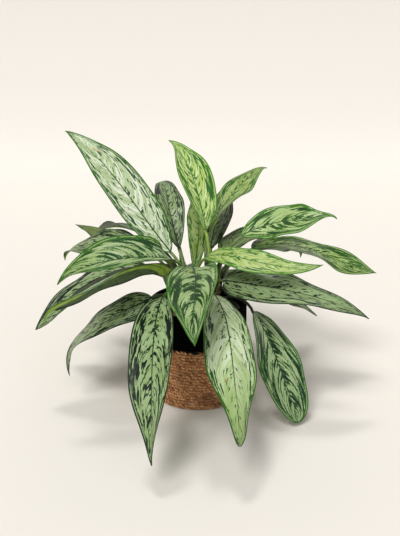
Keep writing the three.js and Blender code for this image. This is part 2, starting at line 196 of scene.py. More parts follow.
LEAVES = [
    Leaf("leaf_tall_left", "centre", 172, 55, 245, 66,
         heading=(170, 165, 160, 155), rise=(80, 48, 50, 25), roll=(-45, -45, -35),
         fold=20, broad=0.65, taper=0.95, drip=0.1, tone=0.1, mottle=0.45, pale=1, stalk_shade=0.3),
    Leaf("leaf_back_left_upright", "centre", 178, 50, 190, 50,
         heading=(125, 110, 100, 95), rise=(60, 40, 25, 0), roll=(-5, 10, -5),
         fold=20, broad=0.9, taper=0.9, mottle=0.62, shade=0.38, stalk_shade=0.35),
    Leaf("leaf_behind_new", "centre", 182, 12, 168, 38,
         heading=(72, 73, 90, 90), rise=(70, 52, 31, 25), roll=(25, -20, -5),
         fold=25, broad=0.75, taper=0.75, tone=0.85, mottle=0.45, shade=0.6),
    Leaf("leaf_left_arching", "centre", 178, 52, 194, 66,
         heading=(220, 234, 198, 160), rise=(85, 24, -3, -45), roll=(-17, -34, -35),
         fold=35, broad=0.7, tone=0.25, mottle=0.68, pale=0.38, shade=0.05, bold=0.85, stalk_shade=0.25),
    Leaf("leaf_front_centre", "centre", 178, 62, 196, 76,
         heading=(265, 280, 268, 276), rise=(80, 5, -10, -20), roll=(-5, 12, 5),
         fold=28, broad=0.65, taper=0.8, drip=0.3, tone=0.2, mottle=0.75, shade=0.18, bold=1,
         stalk_shade=0.75),
    Leaf("leaf_new_right_front", "centre", 188, 38, 187, 43,
         heading=(335, 305, 334, 355), rise=(85, 32, -5, 19), roll=(40, 25, 55),
         fold=0, broad=0.75, taper=1, drip=0.25, tone=1, mottle=0.6, shade=0.27, pale=0.2, bold=0.25,
         stalk_shade=0.3),
    Leaf("leaf_new_upright", "right", 200, 60, 165, 60,
         heading=(145, 120, 120, 130), rise=(85, 70, 50, 20), roll=(15, -15, 0),
         fold=35, drip=0.15, tone=0.95, mottle=0.66, pale=0.55, bold=0.35, stalk_shade=0.15),
    Leaf("leaf_new_right", "right", 190, 70, 180, 60,
         heading=(125, 60, 55, 35), rise=(75, 40, 25, 25), roll=(-70, -10, 5),
         fold=0, curl=-40, tone=0.75, mottle=0.62, shade=0.38, bold=0.4),
    Leaf("leaf_back_right_upright", "right", 176, 60, 200, 58,
         heading=(95, 85, 80, 90), rise=(75, 25, 15, 15), roll=(5, -20, -15),
         fold=10, taper=1.2, mottle=0.6, shade=0.55),
    Leaf("leaf_right_upper", "right", 188, 75, 146, 62,
         heading=(10, 20, -20, 10), rise=(85, 30, 14, 15), roll=(25, 35, 20),
         fold=5, broad=0.75, taper=0.95, drip=0.55, curl=-60, tone=0.35, mottle=0.65, shade=0.05,
         bold=1),
    Leaf("leaf_right_upper_inner", "right", 178, 45, 160, 56,
         heading=(45, 70, 35, 10), rise=(85, 25, 5, 10), roll=(0, 0, -10),
         fold=5, tone=0.3, shade=0.6),
    Leaf("leaf_right_large", "right", 168, 35, 230, 66,
         heading=(300, 315, 350, 380), rise=(85, 10, -10, -35), roll=(45, 20, 40),
         fold=5, broad=0.5, taper=1.15, mottle=0.45, shade=0.28, stalk_shade=0.7),
    Leaf("leaf_front_right_hanging", "right", 156, 45, 255, 70,
         heading=(265, 287, 274, 283), rise=(60, 0, -25, -45), roll=(-10, -15, -30),
         fold=-10, broad=0.5, taper=0.5, drip=0.4, curl=-60, tone=0.15, mottle=0.36, pale=0.55),
    Leaf("leaf_right_hanging", "right", 141, 85, 172, 76,
         heading=(320, 325, 313, 310), rise=(70, -50, -60, -50), roll=(-15, 5, 10),
         fold=5, broad=0.5, taper=0.6, curl=-40, mottle=0.68, shade=0.08, bold=0.75, stalk_shade=0.92),
    Leaf("leaf_left_back_curled", "left", 178, 50, 195, 60,
         heading=(135, 160, 150, 135), rise=(85, 20, -10, -30), roll=(0, -25, 0),
         fold=10, curl=-50, tone=0.1, mottle=0.6, shade=0.45),
    Leaf("leaf_left_long", "left", 176, 34, 202, 76,
         heading=(180, 186, 195, 190), rise=(85, 16, -32, -30), roll=(-10, 5, -26),
         fold=25, taper=0.85, mottle=0.7, shade=0.3, stalk_shade=0.3),
    Leaf("leaf_left_turned", "left", 164, 35, 225, 54,
         heading=(235, 245, 208, 195), rise=(85, 60, -18, -6), roll=(43, 39, 44),
         fold=-20, taper=1.2, curl=-90, mottle=0.66, shade=0.22, bold=1, stalk_shade=0.2),
    Leaf("leaf_left_low", "left", 153, 35, 195, 64,
         heading=(215, 215, 180, 165), rise=(60, -15, -35, -100), roll=(-55, -5, -60),
         fold=0, broad=0.6, taper=0.95, drip=0.4, mottle=0.6, shade=0.15, stalk_shade=0.8),
    Leaf("leaf_front_left_hanging", "left", 147, 75, 250, 62,
         heading=(260, 260, 270, 270), rise=(65, 0, -40, -70), roll=(0, 10, 50),
         fold=25, taper=0.9, drip=0.3, mottle=0.6, shade=0.13, stalk_shade=0.7),
    Leaf("leaf_right_far", "back_right", 180, 65, 210, 68,
         heading=(15, 15, 5, -15), rise=(60, 15, -20, -10), roll=(15, 10, 75),
         fold=5, broad=0.95, taper=1.15, tone=0.5, mottle=0.78, shade=0.08, bold=0.25),
    Leaf("leaf_right_under", "back_right", 156, 40, 125, 52,
         heading=(345, 350, 355, 360), rise=(45, -5, -25, -35), roll=(5, 5, 5),
         fold=10, shade=0.5),
    Leaf("leaf_right_inner", "back_right", 168, 95, 140, 50,
         heading=(54, 46, 40, 42), rise=(46, -5, -13, -34), roll=(10, 15, 0),
         fold=10, curl=-60, shade=0.5),
    Leaf("leaf_left_back_narrow", "back_left", 176, 65, 175, 52,
         heading=(170, 145, 140, 140), rise=(60, 5, 5, 0), roll=(-10, -10, 10),
         fold=0, taper=1.15, tone=0.9, mottle=0.2, shade=0.95),
    Leaf("leaf_left_back_wide", "back_left", 168, 65, 195, 60,
         heading=(125, 135, 135, 140), rise=(50, 25, -5, -30), roll=(5, 15, -15),
         fold=10, shade=0.75),
    Leaf("leaf_rear_centre", "back_right", 172, 55, 175, 54,
         heading=(100, 100, 98, 95), rise=(60, 15, 0, -15), roll=(0, 5, 0),
         fold=12),
    Leaf("leaf_rear_right_hanging", "back_right", 152, 50, 175, 58,
         heading=(70, 75, 75, 75), rise=(45, -5, -45, -65), roll=(0, 5, 0),
         fold=10),
    Leaf("leaf_rear_hanging", "back_left", 150, 55, 195, 62,
         heading=(95, 95, 95, 90), rise=(40, -5, -45, -70), roll=(0, -5, 0),
         fold=10, pale=0.2),
    Leaf("leaf_rear_left", "back_left", 178, 60, 180, 54,
         heading=(100, 110, 115, 110), rise=(65, 25, 0, -20), roll=(0, 5, 0),
         fold=15, tone=0.3, bold=0.6),
    Leaf("leaf_rear_low_left", "back_left", 158, 55, 185, 58,
         heading=(180, 165, 165, 160), rise=(45, 0, -25, -50), roll=(0, 10, 0),
         fold=10, shade=0.3),
]

# ---------------------------------------------------------------- small helpers


def lerp(a, b, share):
    return a + (b - a) * share


def smoothstep(value, low, high):
    share = min(1.0, max(0.0, (value - low) / (high - low)))
    return share * share * (3 - 2 * share)


def make_piece(bm, name, materials, node):
    """The finished bmesh as a piece that rides on the root and stands for its node."""
    for face in bm.faces:
        face.smooth = True
    mesh = bpy.data.meshes.new(name)
    bm.to_mesh(mesh)
    bm.free()
    for material in materials:
        mesh.materials.append(material)
    piece = bpy.data.objects.new(name, mesh)
    bpy.context.collection.objects.link(piece)
    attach(piece, "root")
    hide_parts(node)
    return piece


def spun(bm, profile, steps, axis_point=(0, 0)):
    """A profile of (radius, height) pairs, from the axis up and round to the axis, turned a full turn."""
    x, y = axis_point
    verts = [bm.verts.new(((x + r) * MM, y * MM, z * MM)) for r, z in profile]
    edges = [bm.edges.new(pair) for pair in zip(verts, verts[1:])]
    bmesh.ops.spin(bm, geom=verts + edges, cent=(x * MM, y * MM, 0), axis=(0, 0, 1),
                   angle=FULL_TURN, steps=steps, use_merge=True)
    bmesh.ops.remove_doubles(bm, verts=bm.verts, dist=1e-6)
    bmesh.ops.recalc_face_normals(bm, faces=bm.faces)


def cut_away(piece, drills):
    """Takes the drills' shape out of a piece."""
    mesh = bpy.data.meshes.new("drills")
    drills.to_mesh(mesh)
    drills.free()
    tool = bpy.data.objects.new("drills", mesh)
    bpy.context.collection.objects.link(tool)
    cut = piece.modifiers.new("drain_holes", "BOOLEAN")
    cut.object = tool
    cut.solver = "EXACT"
    shown = piece.evaluated_get(bpy.context.evaluated_depsgraph_get())
    cut_mesh = bpy.data.meshes.new_from_object(shown)
    piece.modifiers.clear()
    piece.data = cut_mesh
    bpy.data.objects.remove(tool)


# ---------------------------------------------------------------- material nodes


class Finish:
    """A material of one Principled surface, with short ways to add the nodes that feed it."""

    def __init__(self, name, roughness, **settings):
        self.material = bpy.data.materials.new(name)
        self.material.use_nodes = True
        self.tree = self.material.node_tree
        self.surface = self.tree.nodes["Principled BSDF"]
        self.set("Roughness", roughness)
        for socket, value in settings.items():
            self.set(socket.replace("_", " "), value)

    def set(self, socket, value):
        """A surface input: a plain value on its own socket, or a link from a node."""
        if isinstance(value, bpy.types.NodeSocket):
            self.tree.links.new(value, self.surface.inputs[socket])
        else:
            self.surface.inputs[socket].default_value = value

    def node(self, kind, inputs, **settings):
        node = self.tree.nodes.new(kind)
        for name, value in settings.items():
            setattr(node, name, value)
        for key, value in inputs.items():
            if isinstance(value, bpy.types.NodeSocket):
                self.tree.links.new(value, node.inputs[key])
            else:
                node.inputs[key].default_value = value
        return node

    def attribute(self, name):
        node = self.node("ShaderNodeAttribute", {}, attribute_name=name)
        parts = self.node("ShaderNodeSeparateXYZ", {0: node.outputs["Vector"]})
        return parts.outputs[0], parts.outputs[1], parts.outputs[2]

    def uv(self, name):
        node = self.node("ShaderNodeUVMap", {}, uv_map=name)
        parts = self.node("ShaderNodeSeparateXYZ", {0: node.outputs["UV"]})
        return parts.outputs[0], parts.outputs[1]

    def place(self):
        """Where a point is on the object, in metres."""
        return self.node("ShaderNodeTexCoord", {}).outputs["Object"]

    def height(self):
        """How high a point is on the object, in metres."""
        return self.node("ShaderNodeSeparateXYZ", {0: self.place()}).outputs[2]

    def vector(self, x, y, z=0.0):
        return self.node("ShaderNodeCombineXYZ", {0: x, 1: y, 2: z}).outputs[0]

    def math(self, operation, *values):
        inputs = dict(enumerate(values))
        return self.node("ShaderNodeMath", inputs, operation=operation).outputs[0]

    def plus(self, a, b):
        return self.math("ADD", a, b)

    def minus(self, a, b):
        return self.math("SUBTRACT", a, b)

    def times(self, a, b):
        return self.math("MULTIPLY", a, b)

    def ramp(self, value, low, high):
        """0 below low, 1 above high and smooth between. low may be above high."""
        inputs = {"Value": value, "From Min": low, "From Max": high}
        return self.node("ShaderNodeMapRange", inputs, interpolation_type="SMOOTHSTEP").outputs[0]

    def noise(self, vector, scale, detail=2.0, roughness=0.5):
        inputs = {"Vector": vector, "Scale": scale, "Detail": detail, "Roughness": roughness}
        return self.node("ShaderNodeTexNoise", inputs).outputs[0]

    def blend(self, share, a, b):
        """One number running into another."""
        return self.node("ShaderNodeMix", {0: share, 2: a, 3: b}).outputs[0]

    def random(self, vector):
        return self.node("ShaderNodeTexWhiteNoise", {"Vector": vector}).outputs["Value"]

    def mix(self, share, a, b):
        """One colour running into another."""
        return self.node("ShaderNodeMix", {0: share, 6: a, 7: b}, data_type="RGBA").outputs[2]

    def bump(self, height, distance, strength=1.0):
        inputs = {"Height": height, "Distance": distance, "Strength": strength}
        self.set("Normal", self.node("ShaderNodeBump", inputs).outputs[0])


def colour(code):
    """A web colour as linear red, green, blue and alpha."""
    parts = [int(code[i:i + 2], 16) / 255 for i in (1, 3, 5)]
    return tuple(((p + 0.055) / 1.055) ** 2.4 if p > 0.04045 else p / 12.92 for p in parts) + (1.0,)


# ---------------------------------------------------------------- leaf finishes

# A blade's points carry four attributes. vein is (which side vein, distance along it, half of which leaf),
# in millimetres, so that a pattern on it follows the side veins as they bend towards the tip. margin is
# (distance from the edge in millimetres, share of the way from midrib to edge, place along the blade),
# look is (tone, mottle, shade) and habit is (pale, bold, stem). shade and stem are how far painted shade
# darkens the blade and the stalk.


class BladeFinish(Finish):
    """The finish of one face of the blades, which reads their attributes."""

    def __init__(self, name, roughness):
        super().__init__(name, roughness)
        self.vein, self.run, self.half_leaf = self.attribute("vein")
        self.edge, self.across, self.along = self.attribute("margin")
        self.tone, self.mottle, self.shade = self.attribute("look")
        self.pale, self.bold, _ = self.attribute("habit")

    def drawn(self, across_veins, along_veins, detail=2.0, roughness=0.5):
        """Noise drawn out along the side veins: its grain across and along them, in millimetres."""
        x = self.math("DIVIDE", self.vein, across_veins)
        y = self.math("DIVIDE", self.run, along_veins)
        return self.noise(self.vector(x, y, self.half_leaf), 1.0, detail, roughness)

    def part_drawn(self, inner_veins, outer_veins, along_veins, detail):
        """The same with one grain by the midrib and another by the edge, where the veins bend forward."""
        inner = self.drawn(inner_veins, along_veins, detail)
        outer = self.drawn(outer_veins, along_veins, detail)
        return self.blend(self.ramp(self.across, 0.35, 0.65), inner, outer)

    def from_midrib(self):
        """How far a point lies from the midrib, in millimetres."""
        half_width = self.math("DIVIDE", self.edge, self.minus(1.001, self.across))
        return self.math("ABSOLUTE", self.times(self.across, half_width))

    def mark(self, name, vein_there, run_there, radius):
        """A round blemish on the left half of one leaf."""
        index = [leaf.name for leaf in LEAVES].index(name)
        elsewhere = self.times(self.minus(self.half_leaf, LEAF_STEP * index + LEFT_HALF_STEP), 10.0)
        away = self.vector(self.minus(self.vein, vein_there), self.minus(self.run, run_there), elsewhere)
        far = self.node("ShaderNodeVectorMath", {0: away}, operation="LENGTH").outputs["Value"]
        return self.ramp(far, radius + MARK_SOFTNESS, radius - MARK_SOFTNESS)


def upper_ground(f):
    """The silvery or yellow-green ground, streaked along the side veins; a pale leaf's broad light streaks
    are partly its own banding and partly painted glare, and its tip is greener.
    """
    streaks = f.ramp(f.drawn(3.0, 24.0, 3.0), 0.2, 0.8)
    # Broad light streaks: partly a pale leaf's own silver banding, partly painted glare.
    banding_and_glare = f.ramp(f.drawn(9.0, 60.0, 1.0), 0.4, 0.62)
    toward_tip = f.times(f.times(f.ramp(f.along, 0.45, 0.9), 0.9), f.minus(1.25, f.pale))
    silver = f.times(f.pale, f.minus(1.0, toward_tip))
    silver = f.math("MAXIMUM", silver, f.times(f.bold, 0.12))
    dull = f.mix(streaks, colour("#a4ba8a"), colour("#c6d6af"))
    bright = f.mix(streaks, colour("#d3e0c2"), colour("#f3f8ec"))
    old = f.mix(streaks, colour("#87a36c"), colour("#a6bc8c"))
    old = f.mix(silver, old, f.mix(banding_and_glare, dull, bright))
    greening = f.math("MINIMUM", f.times(f.pale, 1.6), 1.0)
    old = f.mix(f.times(toward_tip, greening), old, colour("#76953f"))
    new = f.mix(streaks, colour("#8fae4a"), colour("#c3d584"))
    # The same broad streaks, partly banding and partly painted glare, on a pale young leaf.
    new = f.mix(f.times(banding_and_glare, f.pale), new, colour("#e3edc0"))
    clouds = f.ramp(f.drawn(30.0, 40.0, 1.0), 0.48, 0.72)
    clouded = f.times(f.times(clouds, f.minus(1.0, f.pale)), f.plus(0.4, f.times(f.tone, 0.6)))
    deep = f.mix(f.tone, colour("#809a50"), colour("#84a63e"))
    return f.mix(clouded, f.mix(f.tone, old, new), deep)


def blotch_level(f):
    """High where a blotch lies: drawn out along the side veins, and broad as a feather on a bold leaf."""
    blots = f.part_drawn(5.0, 13.0, 10.0, 2.0)
    feather = f.times(f.minus(f.drawn(3.4, 2.6, 2.0), 0.5), 0.36)
    bands = f.plus(f.part_drawn(6.0, 15.0, 34.0, 1.5), feather)
    by_edge = f.minus(f.times(f.ramp(f.across, 0.4, 0.8), 0.09), 0.045)
    by_midrib = f.times(f.times(f.ramp(f.across, 0.34, 0.06), 0.065), f.bold)
    wander = f.times(f.minus(f.drawn(40.0, 22.0), 0.5), 0.22)
    amount = f.times(f.minus(f.mottle, 0.5), 0.25)
    level = f.plus(f.blend(f.bold, blots, bands), f.plus(by_edge, by_midrib))
    return f.plus(level, f.plus(wander, amount))


def with_blotches(f, pattern, level, depth):
    """Dark blotches, with small specks between them."""
    specks = f.times(f.ramp(f.drawn(2.4, 4.5, 1.0), 0.65, 0.68), f.ramp(level, 0.44, 0.5))
    blotch = f.math("MAXIMUM", f.ramp(level, 0.53, 0.542), specks)
    old = f.mix(depth, colour("#07130b"), colour("#15341a"))
    bold = f.mix(depth, colour("#0b2912"), colour("#2a6622"))
    new = f.mix(depth, colour("#2c5c16"), colour("#4e8c20"))
    dark = f.mix(f.tone, f.mix(f.bold, old, bold), new)
    dark = f.mix(f.times(f.pale, 0.45), dark, colour("#44704f"))
    return f.mix(blotch, pattern, dark)


def with_margin(f, pattern, depth):
    """A dark edge, a fine pale line inside it, and a ragged dark line inside that."""
    along_edge = f.vector(f.times(f.along, 46.0), f.times(f.edge, 0.35), f.half_leaf)
    ragged = f.times(f.minus(f.noise(along_edge, 1.0, 3.0, 0.6), 0.36), 9.0)
    inside = f.plus(f.plus(0.6, f.times(f.bold, 1.6)), ragged)
    margin = f.ramp(f.minus(f.minus(f.edge, 1.8), inside), 0.2, -0.3)
    strong = f.math("MAXIMUM", f.bold, f.times(f.pale, 0.8))
    old = f.mix(strong, f.mix(depth, colour("#08160b"), colour("#17330f")), colour("#2f6414"))
    pattern = f.mix(margin, pattern, f.mix(f.tone, old, colour("#4c861a")))
    line = f.times(f.ramp(f.edge, 1.5, 1.9), f.ramp(f.edge, 3.3, 2.7))
    line = f.times(line, f.ramp(f.noise(along_edge, 0.35, 1.0), 0.36, 0.5))
    return f.mix(f.times(line, 0.7), pattern, f.mix(f.tone, colour("#9dbd85"), colour("#cfe095")))


def with_midrib(f, pattern):
    """The midrib is a thin dark line on the upper face, lost at the tip."""
    half_line = f.plus(0.35, f.times(f.minus(1.0, f.along), 0.7))
    midrib_line = f.ramp(f.minus(f.from_midrib(), half_line), 0.3, -0.2)
    midrib_line = f.times(midrib_line, f.ramp(f.along, 1.0, 0.6))
    return f.mix(midrib_line, pattern, f.mix(f.tone, colour("#16321a"), colour("#47772a")))


def upper_face_finish():
    """The mottled face of a leaf. Its side veins stand up a little, and a leaf that lies in shade is
    darkened with painted shade and shines less.
    """
    f = BladeFinish("leaf_upper", 0.4)
    level = blotch_level(f)
    depth = f.ramp(level, 0.64, 0.53)
    pattern = with_blotches(f, upper_ground(f), level, depth)
    pattern = with_margin(f, pattern, depth)
    pattern = with_midrib(f, pattern)
    for name, vein_there, run_there, radius, tint in MARKS:
        pattern = f.mix(f.mark(name, vein_there, run_there, radius), pattern, colour(tint))
    # Painted shade: a leaf that lies in shade is darkened towards near-black green.
    f.set("Base Color", f.mix(f.times(f.shade, 0.7), pattern, colour("#08130a")))
    fine = f.drawn(0.8, 5.0, 3.0)
    lit = f.minus(1.0, f.times(f.shade, 1.4))
    f.set("Roughness", f.plus(f.plus(0.24, f.times(fine, 0.16)), f.times(f.shade, 0.35)))
    f.set("Specular IOR Level", 0.25)
    f.set("Coat Weight", f.times(f.math("MAXIMUM", lit, 0.0), 0.16))
    f.set("Coat Roughness", 0.12)
    f.bump(f.plus(f.drawn(4.5, 45.0, 1.0), f.times(fine, 0.06)), 0.0009, 0.45)
    return f.material


def lower_face_finish():
    """The paler back of a leaf: faint blotches, a dark edge and a broad yellow-green midrib."""
    f = BladeFinish("leaf_lower", 0.5)
    streaks = f.ramp(f.drawn(3.3, 20.0, 3.0), 0.3, 0.7)
    old = f.mix(streaks, colour("#455d37"), colour("#6d8857"))
    new = f.mix(streaks, colour("#6f9234"), colour("#9bb854"))
    blotch = f.times(f.ramp(f.drawn(5.0, 13.0, 3.0, 0.62), 0.5, 0.54), 0.75)
    dark = f.mix(f.tone, colour("#20391f"), colour("#467326"))
    pattern = f.mix(blotch, f.mix(f.tone, old, new), dark)
    margin = f.times(f.ramp(f.edge, 3.6, 2.0), 0.9)
    pattern = f.mix(margin, pattern, colour("#12240f"))
    half_midrib = f.plus(1.8, f.times(f.bold, f.minus(7.0, f.times(f.along, 4.0))))
    midrib_band = f.ramp(f.minus(f.from_midrib(), half_midrib), 1.2, -1.2)
    pattern = f.mix(midrib_band, pattern, f.mix(streaks, colour("#8db23c"), colour("#b4d45c")))
    # Painted shade: the back of a leaf that lies in shade is darkened.
    f.set("Base Color", f.mix(f.times(f.shade, 0.5), pattern, colour("#060a05")))
    f.bump(f.drawn(0.8, 3.3, 3.0), 0.0003, 0.4)
    return f.material


def stalk_finish():
    """A stalk is darkened with painted shade, most at its foot in the crown, and is yellow-green where it
    runs on as the midrib under the blade.
    """
    f = Finish("leaf_stalk", 0.42)
    around, along = f.uv("stalk")
    tone, mottle, _ = f.attribute("look")
    _, _, stalk_shade = f.attribute("habit")
    grain = f.vector(f.times(around, 9.0), f.times(along, 6.0), mottle)
    streaks = f.noise(grain, 1.0, 3.0)
    light = f.ramp(streaks, 0.3, 0.7)
    green = f.mix(light, colour("#3f5f2a"), colour("#7a9a45"))
    green = f.mix(tone, green, f.mix(light, colour("#6f9432"), colour("#a3bf55")))
    # Painted shade: each stalk is darkened as far as its stem says, and more towards its foot in the crown.
    green = f.mix(stalk_shade, green, colour("#0a1407"))
    green = f.mix(f.times(f.ramp(along, -0.3, -1.0), 0.6), green, colour("#0e1a09"))
    f.set("Base Color", f.mix(f.ramp(along, -0.02, 0.1), green, colour("#8cb03e")))
    f.bump(streaks, 0.0004, 0.5)
    return f.material


# ---------------------------------------------------------------- leaves


def angle_along(values, place):
    """An angle given at foot, base, middle and tip, read anywhere along the leaf."""
    foot, base, middle, tip = values
    if place < 0:
        return math.radians(lerp(base, foot, -place))
    share = base * (1 - place) * (1 - 2 * place) + 4 * middle * place * (1 - place)
    return math.radians(share + tip * place * (2 * place - 1))


def frame_at(leaf, place):
    """Which way the leaf runs at a place, its left side and its upper face."""
    heading = angle_along(leaf.heading, place)
    bend = max(0.0, (place - BLADE_CURL_FROM) / (1 - BLADE_CURL_FROM)) ** 2
    rise = angle_along(leaf.rise, place) + math.radians(leaf.curl) * bend
    turn = angle_along((leaf.roll[0], *leaf.roll), place)
    level = math.cos(rise)
    along = Vector((level * math.cos(heading), level * math.sin(heading), math.sin(rise)))
    side = Matrix.Rotation(turn, 3, along) @ Vector((-math.sin(heading), math.cos(heading), 0))
    return along, side, along.cross(side)


def place_of(row):
    """A row's place along the leaf: -1 at the foot, 0 at the blade's base and 1 at its tip."""
    return row / STALK_ROWS if row < 0 else row / BLADE_ROWS


def midrib(leaf):
    """The midrib's point, side and upper direction in each row, from the foot (-STALK_ROWS) to the tip."""
    x, y, top = CANES[leaf.cane]
    out = STALK_OUTSET if leaf.foot < top - STALK_APEX else 0
    heading = math.radians(leaf.heading[0])
    point = Vector((x + out * math.cos(heading), y + out * math.sin(heading), leaf.foot))
    rows = {}
    for row in range(-STALK_ROWS, BLADE_ROWS + 1):
        along, side, up = frame_at(leaf, place_of(row))
        rows[row] = (point.copy(), side, up)
        length = leaf.stalk / STALK_ROWS if row < 0 else leaf.blade / BLADE_ROWS
        ahead = frame_at(leaf, place_of(min(row + 1, BLADE_ROWS)))[0]
        point += (along + ahead).normalized() * length
    return rows


def half_width(leaf, place):
    """Half the blade's width. broad fills out its base, taper thins its tip, and drip draws the tip out."""
    widest = leaf.broad / (leaf.broad + leaf.taper)
    shape = place ** leaf.broad * (1 - place) ** leaf.taper
    drip = 1 - leaf.drip * smoothstep(place, BLADE_DRIP_FROM, BLADE_DRIP_TO)
    return leaf.width / 2 * drip * shape / (widest ** leaf.broad * (1 - widest) ** leaf.taper)


def side_vein(leaf, place, across):
    """Which side vein passes through a point, as the place in millimetres where it leaves the midrib.

    A vein leaves at a slant, bends forward towards the edge and leans more the nearer it is to the tip.
    """
    forward = (0.9 * across + 1.7 * across ** VEIN_BEND) * (0.7 + 0.6 * place)
    return place * leaf.blade - forward * leaf.width / 2


def along_vein(leaf, across):
    """About how far along its side vein a point lies, in millimetres."""
    return leaf.width / 2 * (1.35 * across + 1.5 * across ** VEIN_BEND)


def blade_offsets(leaf, index, place, across, half):
    """How far a point of the blade's middle sheet lies to the side and above the midrib."""
    flat = smoothstep(place, 0, BLADE_FLAT_FROM)
    fold = math.radians(leaf.fold) * flat
    far = abs(across)
    swell = math.sin(math.pi * place)
    turn = FULL_TURN * BLADE_WAVES * place + BLADE_WAVE_SHIFT * index + BLADE_WAVE_SLANT * across
    wave = BLADE_RIPPLE * flat * swell * across * across * math.sin(turn)
    vein = side_vein(leaf, place, far)
    between = 3.1 * far * (1 - far) ** 1.5  # 0 at the midrib and at the edge
    quilt = VEIN_RELIEF * flat * swell * between * math.cos(FULL_TURN * vein / VEIN_SPACING)
    groove = BLADE_GROOVE * flat * math.exp(-((far * half / BLADE_GROOVE_HALF_WIDTH) ** 2))
    unevenness = noise.noise(Vector((vein / BLADE_LUMP_LENGTH, across * 1.6, 3.7 * index)))
    lump = BLADE_LUMP * flat * far * unevenness
    lift = math.sin(fold) * far * half + wave + quilt + lump - groove
    return math.cos(fold) * across * half, lift


def add_blade(bm, leaf, index, rows, layers):
    """The blade: a thin slab in (place, across, face), bent to its shape."""
    slab = bmesh.ops.create_grid(bm, x_segments=BLADE_ROWS, y_segments=BLADE_COLUMNS, size=1)
    faces = list({face for vert in slab["verts"] for face in vert.link_faces})
    bmesh.ops.translate(bm, verts=slab["verts"], vec=(0, 0, -1))
    raised = bmesh.ops.extrude_face_region(bm, geom=faces)["geom"]
    top = [item for item in raised if isinstance(item, bmesh.types.BMVert)]
    bmesh.ops.translate(bm, verts=top, vec=(0, 0, 2))
    bmesh.ops.recalc_face_normals(bm, faces=bm.faces)
    bm.normal_update()
    for face in bm.faces:
        face.material_index = 1 if face.normal.z < -0.5 else 0
        if abs(face.normal.z) < 0.5:
            for edge in face.edges:
                edge.smooth = False
    for vert in bm.verts:
        row = round((vert.co.x + 1) / 2 * BLADE_ROWS)
        place = row / BLADE_ROWS
        far = abs(vert.co.y) ** BLADE_COLUMN_CROWDING
        across = math.copysign(far, vert.co.y)
        half = max(half_width(leaf, place), BLADE_TIP_HALF_WIDTH)
        point, side, up = rows[row]
        sideways, lift = blade_offsets(leaf, index, place, across, half)
        thickness = vert.co.z * BLADE_HALF_THICKNESS
        run = math.copysign(along_vein(leaf, far), across)
        half_leaf = LEAF_STEP * index + (LEFT_HALF_STEP if across < 0 else 0)
        vert[layers["vein"]] = (side_vein(leaf, place, far), run, half_leaf)
        vert[layers["margin"]] = ((1 - far) * half, far, place)
        vert.co = (point + side * sideways + up * (lift + thickness)) * MM


def stalk_section(place, turn):
    """A point of the stalk's section: a channelled sheath at the foot, and rounder above.

    Past the base of the blade it sinks under the blade, so that only the raised midrib shows below.
    """
    if place > 0:
        radius = RIB_SLIMNESS * lerp(STALK_END_RADIUS, BLADE_TIP_RIB, place)
    else:
        radius = lerp(STALK_END_RADIUS, STALK_FOOT_RADIUS, -place)
    sheath = smoothstep(-place, STALK_SHEATH_FROM, 1.0)
    out = math.cos(turn) * radius * (1 + STALK_SHEATH_FLARE * sheath)
    rise = math.sin(turn) * radius
    if rise > 0:
        channel = (0.3 + 0.6 * sheath) * math.exp(-((math.cos(turn) / 0.45) ** 2))
        rise = rise * 0.85 - channel * radius
    sunk = smoothstep(place, -0.15, 0.06) * (radius + 0.45)
    return out, rise - sunk


def add_stalk(bm, leaf, rows, layers):
    """The stalk, which runs on as the raised midrib under the blade, drawn as one tapering rod."""
    before = set(bm.verts)
    disc = bmesh.ops.create_circle(bm, cap_ends=True, segments=STALK_SIDES, radius=1)
    cap = disc["verts"][0].link_faces[0]
    stations = list(range(-STALK_ROWS, 1, 2)) + list(range(4, BLADE_ROWS + 1, 4))
    for _ in stations[1:]:
        made = bmesh.ops.extrude_face_region(bm, geom=[cap])["geom"]
        end = [item for item in made if isinstance(item, bmesh.types.BMVert)]
        bmesh.ops.translate(bm, verts=end, vec=(0, 0, 1))
        cap = next(item for item in made if isinstance(item, bmesh.types.BMFace))
    verts = [vert for vert in bm.verts if vert not in before]
    faces = {face for vert in verts for face in vert.link_faces}
    bmesh.ops.recalc_face_normals(bm, faces=list(faces))
    for face in faces:
        face.material_index = 2
        middle = face.calc_center_median()
        turn = math.atan2(middle.y, middle.x)
        for loop in face.loops:
            here = math.atan2(loop.vert.co.y, loop.vert.co.x)
            here += FULL_TURN * round((turn - here) / FULL_TURN)
            station = stations[round(loop.vert.co.z)]
            loop[layers["stalk"]].uv = (here / FULL_TURN, place_of(station))
    for vert in verts:
        row = stations[round(vert.co.z)]
        point, side, up = rows[row]
        out, rise = stalk_section(place_of(row), math.atan2(vert.co.y, vert.co.x))
        vert.co = (point + side * out + up * rise) * MM


def make_leaf(leaf, index, materials):
    """A leaf, with a material each for the blade's upper face, its lower face and the stalk."""
    bm = bmesh.new()
    names = ("vein", "margin", "look", "habit")
    layers = {name: bm.verts.layers.float_vector.new(name) for name in names}
    layers["stalk"] = bm.loops.layers.uv.new("stalk")
    rows = midrib(leaf)
    add_blade(bm, leaf, index, rows, layers)
    add_stalk(bm, leaf, rows, layers)
    for vert in bm.verts:
        vert[layers["look"]] = (leaf.tone, leaf.mottle, leaf.shade)
        vert[layers["habit"]] = (leaf.pale, leaf.bold, leaf.stalk_shade)
    make_piece(bm, leaf.name + "_fine", materials, leaf.name)


# ---------------------------------------------------------------- canes


